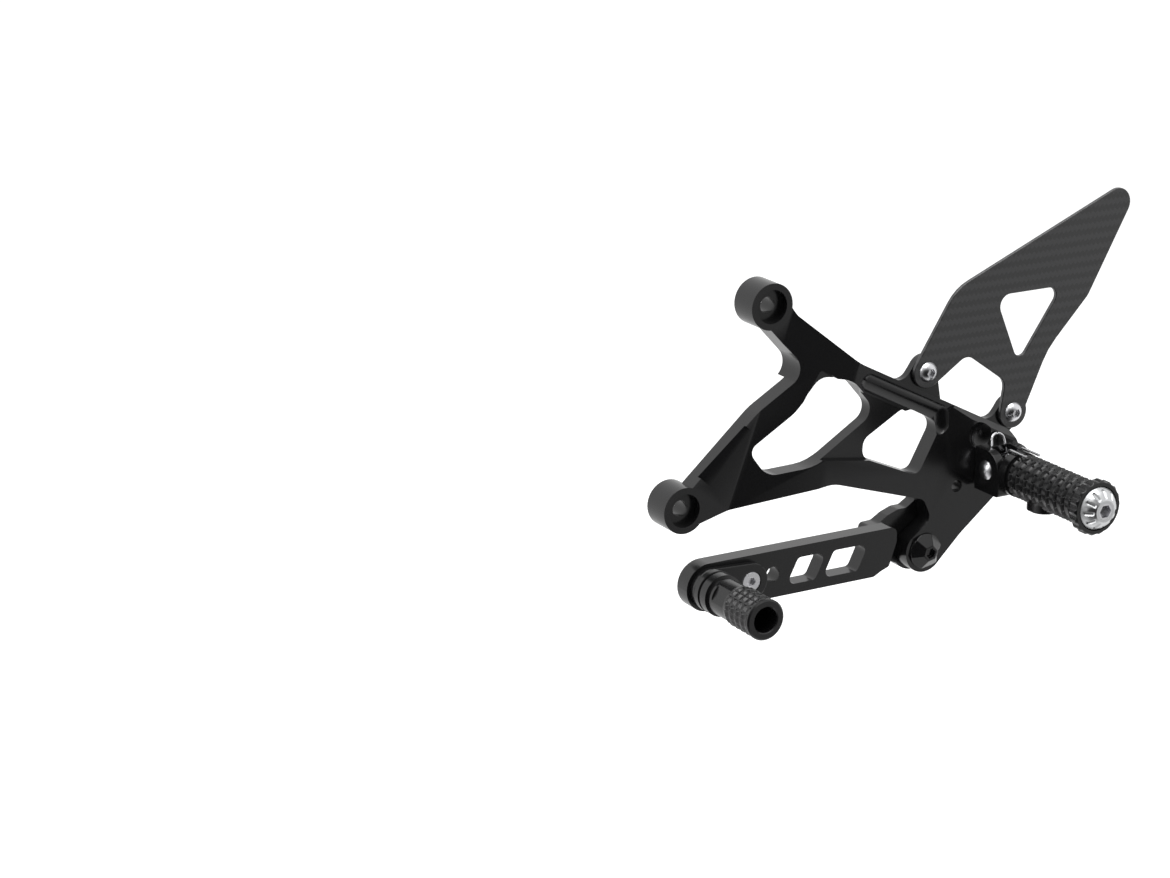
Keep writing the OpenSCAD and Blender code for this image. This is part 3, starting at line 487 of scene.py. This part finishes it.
def sleeve_radius(own, depth, turn):
    """Pointed rings of teeth: root + height * the lesser of a ridge along the sleeve and a ridge round it.
    The flange is scalloped by arcs, and a rounded boss for the lock screw stands out below."""
    outer = own > SPINDLE_R + 1
    end = SLEEVE_START + SLEEVE_LEN
    knurl = outer & (depth >= SLEEVE_START) & (depth <= end) & (own <= SLEEVE_R)
    along = ridge((depth - SLEEVE_START) * SLEEVE_RINGS / SLEEVE_LEN, 2.1, -1)
    tooth = turn * SLEEVE_TEETH / (2 * np.pi)
    teeth = np.minimum(along, ridge(tooth, 2.4, 0.15))
    r = np.where(knurl, SLEEVE_R - SLEEVE_TOOTH + SLEEVE_TOOTH * teeth, own)
    # Scallops: arcs of SCALLOP_R, each centred SCALLOP_OUT outside the flange
    part = (tooth % 1 - 0.5) * 2 * np.pi / SLEEVE_TEETH
    reach = FLANGE_R + SCALLOP_OUT
    aside = reach * np.sin(part)
    dip = reach * np.cos(part) - np.sqrt(np.maximum(SCALLOP_R ** 2 - aside ** 2, 0))
    scallop = np.where(np.abs(aside) < SCALLOP_R, dip, FLANGE_R)
    flange = outer & (own > CAP_SEAT_R + 0.5) & (depth >= end)
    r = np.where(flange, np.minimum(r, scallop), r)
    # The boss: an oval seen from below, flat at LOCK_BOSS_DROP
    middle = (depth - LOCK_BOSS_FROM - LOCK_BOSS_LEN / 2) / (LOCK_BOSS_LEN / 2)
    half = LOCK_BOSS_HALF * np.sqrt(np.clip(1 - middle ** 2, 0, 1))
    down, side = -np.sin(turn), np.abs(np.cos(turn))
    boss = np.minimum(LOCK_BOSS_DROP / np.maximum(down, 0.05), half / np.maximum(side, 1e-3))
    return np.where(knurl & (down > 0.5), np.maximum(r, np.minimum(boss, LOCK_BOSS_DROP + 2)), r)


def toe_radius(own, depth, turn):
    """Teeth as on the sleeve, lower and closer, and two spanner flats on the waist: the lesser of r and
    a flat's distance over the cosine of the angle from it."""
    start = TOE_END - TOE_KNURL
    outer = own > TOE_BORE_R + 1
    knurl = outer & (depth >= start) & (depth <= TOE_END - TOE_RIM)
    along = ridge((depth - start) * TOE_RINGS / TOE_KNURL, 1.5, -0.3)
    teeth = np.minimum(along, ridge(turn * TOE_TEETH / (2 * np.pi), 2.2, -0.15))
    r = np.where(knurl, TOE_R - TOE_TOOTH + TOE_TOOTH * teeth, own)
    waist = outer & (depth < start - 1) & (depth > start - WAIST_LEN)
    across = np.abs(np.cos(turn + FLAT_TURN))
    return np.where(waist, np.minimum(r, (TOE_R - FLAT_CUT) / np.maximum(across, 0.1)), r)


def make_sleeve():
    """The footpeg's knurled sleeve with its flange, the cap's seat and the bore for the spindle."""
    root, end = SLEEVE_R - SLEEVE_TOOTH, SLEEVE_START + SLEEVE_LEN
    turned_ring(
        "peg_sleeve",
        [(SPINDLE_R, SLEEVE_START), (root, SLEEVE_START), (root, end),
         (FLANGE_R - FLANGE_EDGE, end + 0.01), (FLANGE_R, end + FLANGE_EDGE),
         (FLANGE_R, FLANGE_END - FLANGE_EDGE), (FLANGE_R - FLANGE_EDGE, FLANGE_END),
         (CAP_SEAT_R, FLANGE_END), (CAP_SEAT_R, CAP_SEAT), (CAP_BOLT_R, CAP_SEAT),
         (CAP_BOLT_R, SPINDLE_END), (SPINDLE_R, SPINDLE_END)],
        sleeve_radius, PEG_X, PEG_Z, SLEEVE_TEETH, 0.5)


def make_toe_peg():
    """The toe peg with its base rings, waist, knurl and bore."""
    r, base, start = TOE_R, TOE_START, TOE_END - TOE_KNURL
    bore_floor = TOE_END - TOE_BORE_DEPTH
    turned_ring(
        "toe_peg",
        # Two rings at the base with a groove between them
        [(TOE_BOLT_R, base), (r + 0.1, base), (r + 0.5, base + 0.4), (r + 0.5, base + 3.6),
         (r - 0.6, base + 4), (r - 0.6, base + 4.8), (r + 0.3, base + 5.2), (r + 0.3, base + 10),
         # Waist with a groove at its root
         (r - 1.3, base + 10.5), (r - 1.3, base + 11.6), (r - 0.9, base + 12.2), (r - 0.9, start - 0.6),
         # Knurl and rim
         (r - TOE_TOOTH, start), (r - TOE_TOOTH, TOE_END - TOE_RIM), (r, TOE_END - TOE_RIM + 0.01),
         (r, TOE_END - 0.8), (r - 0.8, TOE_END),
         # Bore
         (TOE_BORE_R + 0.5, TOE_END), (TOE_BORE_R, TOE_END - 0.5), (TOE_BORE_R, bore_floor),
         (TOE_BOLT_R, bore_floor)],
        toe_radius, TOE_X, TOE_Z, TOE_TEETH, 0.45)


def straight(a, b, count):
    """Evenly spaced points from a to b."""
    t = np.linspace(0, 1, count)[:, None]
    return np.asarray(a) * (1 - t) + np.asarray(b) * t


def spring_paths(side):
    """A coil of one and a half turns with its foot, and the leg over the peg, beside the peg's middle: the coil
    is (x moving inward, COIL_R cos a, COIL_R sin a) about the pin."""
    x_in, x_out = PEG_X + side * COIL_IN, PEG_X + side * COIL_OUT
    angle = np.linspace(-math.pi / 2, 2.5 * math.pi, COIL_POINTS)
    coil = np.stack([np.linspace(x_out, x_in, COIL_POINTS), -PIN_DEPTH + COIL_R * np.cos(angle),
                     PEG_Z + COIL_R * np.sin(angle)], -1)
    foot = straight((x_out, -FOOT_DEPTH, PEG_Z - COIL_R), (x_out, -FOOT_ROOT_DEPTH, PEG_Z - COIL_R), 12)
    knee = (x_in, -KNEE_DEPTH, LEG_Z)
    leg = np.concatenate([straight((x_in, -PIN_DEPTH, PEG_Z + COIL_R), knee, 14)[:-1],
                          straight(knee, (x_in, -LEG_END, LEG_Z), 14)])
    return np.concatenate([foot, coil]), leg


def loop_path():
    """Two arms up from the coils and a half oval between them: (cos a, lean * sin a, rise * sin a) of its
    half width."""
    front, rear = (straight((PEG_X + side * COIL_OUT, -LOOP_FOOT_DEPTH, LOOP_FOOT_Z),
                            (LOOP_X + side * LOOP_HALF, -LOOP_DEPTH, LOOP_Z), 12) for side in (-1, 1))
    half = np.linspace(math.pi, 0, 24)
    bow = np.stack([LOOP_X + LOOP_HALF * np.cos(half), -LOOP_DEPTH + LOOP_LEAN * LOOP_HALF * np.sin(half),
                    LOOP_Z + LOOP_RISE * LOOP_HALF * np.sin(half)], -1)
    return np.concatenate([front[:-1], bow, rear[-2::-1]])


class FOOTREST_OT_finishes(bpy.types.Operator):
    """Makes the surface finishes"""

    bl_idname = "footrest.finishes"
    bl_label = "Make Finishes"

    def execute(self, context):
        make_finishes(context.scene.footrest_finish)
        return {"FINISHED"}


class FOOTREST_OT_machined(bpy.types.Operator):
    """Finishes the bracket, the clevis, the lever and the links"""

    bl_idname = "footrest.machined"
    bl_label = "Finish Machined Parts"

    def execute(self, context):
        for node in MACHINED:
            finished_copy(node, context.scene.footrest_sizes.edge_break)
        return {"FINISHED"}


class FOOTREST_OT_heel_guard(bpy.types.Operator):
    """Finishes the carbon heel guard"""

    bl_idname = "footrest.heel_guard"
    bl_label = "Finish Heel Guard"

    def execute(self, context):
        finished_copy("heel_guard", context.scene.footrest_sizes.edge_break)
        return {"FINISHED"}


class FOOTREST_OT_screws(bpy.types.Operator):
    """Finishes the screws, pins, washers and bushes"""

    bl_idname = "footrest.screws"
    bl_label = "Finish Screws"

    def execute(self, context):
        for node in SCREWS:
            finished_copy(node, context.scene.footrest_sizes.screw_break)
        return {"FINISHED"}


class FOOTREST_OT_knurled(bpy.types.Operator):
    """Makes the footpeg's sleeve and the toe peg, and finishes the end cap"""

    bl_idname = "footrest.knurled"
    bl_label = "Finish Knurled Parts"

    def execute(self, context):
        finished_copy("peg_end_cap", context.scene.footrest_sizes.cap_break)
        make_sleeve()
        make_toe_peg()
        return {"FINISHED"}


class FOOTREST_OT_springs(bpy.types.Operator):
    """Winds the return springs: a coil and a leg at each side, and the loop that joins them"""

    bl_idname = "footrest.springs"
    bl_label = "Wind Return Springs"

    def execute(self, context):
        sides = context.scene.footrest_sizes.wire_sides

        def add_wire(name, path, body):
            """One bent wire, which stands for part of the springs' node."""
            piece = swept_wire(name, path, WIRE_R, sides)
            stand_for(piece, "peg_return_springs", body, "spring_steel")
            return piece

        for label, side in (("front", -1), ("rear", 1)):
            coil, leg = spring_paths(side)
            add_wire(f"return_spring_coil_{label}", coil, "bracket")
            add_wire(f"return_spring_leg_{label}", leg, "peg")
        loop = add_wire("return_spring_loop", loop_path(), "bracket")
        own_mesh(loop)
        return {"FINISHED"}


# Studio
def background(tree, strength):
    """A white Background node of a given strength."""
    node = tree.nodes.new("ShaderNodeBackground")
    set_inputs(node, {"Color": (1, 1, 1, 1), "Strength": strength})
    return node


def mix_shaders(tree, factor, first, second):
    """A Mix Shader node between two shaders' outputs. Returns its output socket."""
    node = tree.nodes.new("ShaderNodeMixShader")
    for socket, value in zip(node.inputs, (factor, first, second)):
        tree.links.new(value, socket)
    return node.outputs[0]


def studio_world():
    """Surroundings that light the part evenly and are white to the camera and to clear things. Polished
    faces mirror them white too, fading to black towards the dark side: the share that fades them is the
    dot product of the ray's direction and DARK_SIDE."""
    world = bpy.data.worlds.new("White surroundings")
    world.use_nodes = True
    tree = world.node_tree
    tree.nodes.remove(tree.nodes["Background"])
    way = tree.nodes.new("ShaderNodeTexCoord")
    share = tree.nodes.new("ShaderNodeVectorMath")
    share.operation = "DOT_PRODUCT"
    share.inputs[1].default_value = Vector(DARK_SIDE).normalized()
    tree.links.new(way.outputs["Generated"], share.inputs[0])
    fade = tree.nodes.new("ShaderNodeMapRange")
    set_inputs(fade, {"From Min": FADE_FROM, "From Max": FADE_TO, "To Min": 1, "To Max": 0})
    tree.links.new(share.outputs["Value"], fade.inputs["Value"])
    mirrored = background(tree, 1)
    tree.links.new(fade.outputs["Result"], mirrored.inputs["Strength"])
    path = tree.nodes.new("ShaderNodeLightPath")
    lit = mix_shaders(tree, path.outputs["Is Glossy Ray"], background(tree, EVEN_LIGHT).outputs[0],
                      mirrored.outputs[0])
    seen = math_node(tree, "MAXIMUM", path.outputs["Is Camera Ray"], path.outputs["Is Transmission Ray"])
    shown = mix_shaders(tree, seen, lit, background(tree, 1).outputs[0])
    tree.links.new(shown, tree.nodes["World Output"].inputs["Surface"])
    return world


def make_floor():
    """A pale floor under the part, which the camera sees lifted to white with the part's shadow on it."""
    z, half = cad_box[0].z - FLOOR_DROP, FLOOR_HALF
    mesh = bpy.data.meshes.new("floor")
    mesh.from_pydata([(-half, -half, z), (half, -half, z), (half, half, z), (-half, half, z)], [],
                     [(0, 1, 2, 3)])
    floor = placed("floor", mesh)
    material, tree, shader, _ = new_material("Pale floor")
    set_inputs(shader, {"Base Color": (0.9, 0.9, 0.9, 1), "Roughness": 0.8, "Emission Color": (1, 1, 1, 1)})
    path = tree.nodes.new("ShaderNodeLightPath")
    tree.links.new(math_node(tree, "MULTIPLY", path.outputs["Is Camera Ray"], FLOOR_LIFT),
                   shader.inputs["Emission Strength"])
    mesh.materials.append(material)
    # Polished faces mirror the surroundings below instead of the floor
    floor.visible_glossy = False


def make_softboxes():
    """Square area lights aimed at the part."""
    for name, place, width, power in SOFTBOXES:
        light = bpy.data.lights.new(name, "AREA")
        light.size = width
        light.energy = power
        lamp = placed(name, light)
        lamp.location = place
        lamp.rotation_euler = (LIGHT_AIM - Vector(place)).to_track_quat("-Z", "Y").to_euler()


def make_camera():
    """The camera of the photograph."""
    data = bpy.data.cameras.new("photo_camera")
    data.sensor_width = 36
    data.lens = CAMERA_LENS
    camera = placed("photo_camera", data)
    turn, rise = CAMERA_TURN, CAMERA_RISE
    right = Vector((math.cos(turn), math.sin(turn), 0))
    back = Vector((math.sin(turn) * math.cos(rise), -math.cos(turn) * math.cos(rise), math.sin(rise)))
    facing = Matrix((right, back.cross(right), back)).transposed().to_4x4()
    camera.matrix_world = Matrix.Translation(CAMERA_AT) @ facing
    bpy.context.scene.camera = camera


class FOOTREST_OT_studio(bpy.types.Operator):
    """Sets the floor, the soft lights, the white surroundings and the camera"""

    bl_idname = "footrest.studio"
    bl_label = "Set Up Studio"

    def execute(self, context):
        context.scene.view_settings.view_transform = "Standard"
        context.scene.world = studio_world()
        make_floor()
        make_softboxes()
        make_camera()
        return {"FINISHED"}


class FOOTREST_PT_panel(bpy.types.Panel):
    """Lists the steps in order"""

    bl_idname = "FOOTREST_PT_panel"
    bl_label = "Footrest"
    bl_space_type = "VIEW_3D"
    bl_region_type = "UI"
    bl_category = "Footrest"

    def draw(self, context):
        layout = self.layout
        for group in (context.scene.footrest_finish, context.scene.footrest_sizes):
            for key in type(group).__annotations__:
                layout.prop(group, key)
        for step in STEPS:
            layout.operator(step.bl_idname)


STEPS = (FOOTREST_OT_finishes, FOOTREST_OT_machined, FOOTREST_OT_heel_guard, FOOTREST_OT_screws,
         FOOTREST_OT_knurled, FOOTREST_OT_springs, FOOTREST_OT_studio)
CLASSES = (FootrestFinish, FootrestSizes, *STEPS, FOOTREST_PT_panel)


def register():
    for cls in CLASSES:
        bpy.utils.register_class(cls)
    bpy.types.Scene.footrest_finish = PointerProperty(type=FootrestFinish)
    bpy.types.Scene.footrest_sizes = PointerProperty(type=FootrestSizes)


def unregister():
    del bpy.types.Scene.footrest_sizes
    del bpy.types.Scene.footrest_finish
    for cls in reversed(CLASSES):
        bpy.utils.unregister_class(cls)


def main():
    register()
    bpy.ops.footrest.finishes()
    bpy.ops.footrest.machined()
    bpy.ops.footrest.heel_guard()
    bpy.ops.footrest.screws()
    bpy.ops.footrest.knurled()
    bpy.ops.footrest.springs()
    bpy.ops.footrest.studio()


if __name__ == "__main__":
    main()
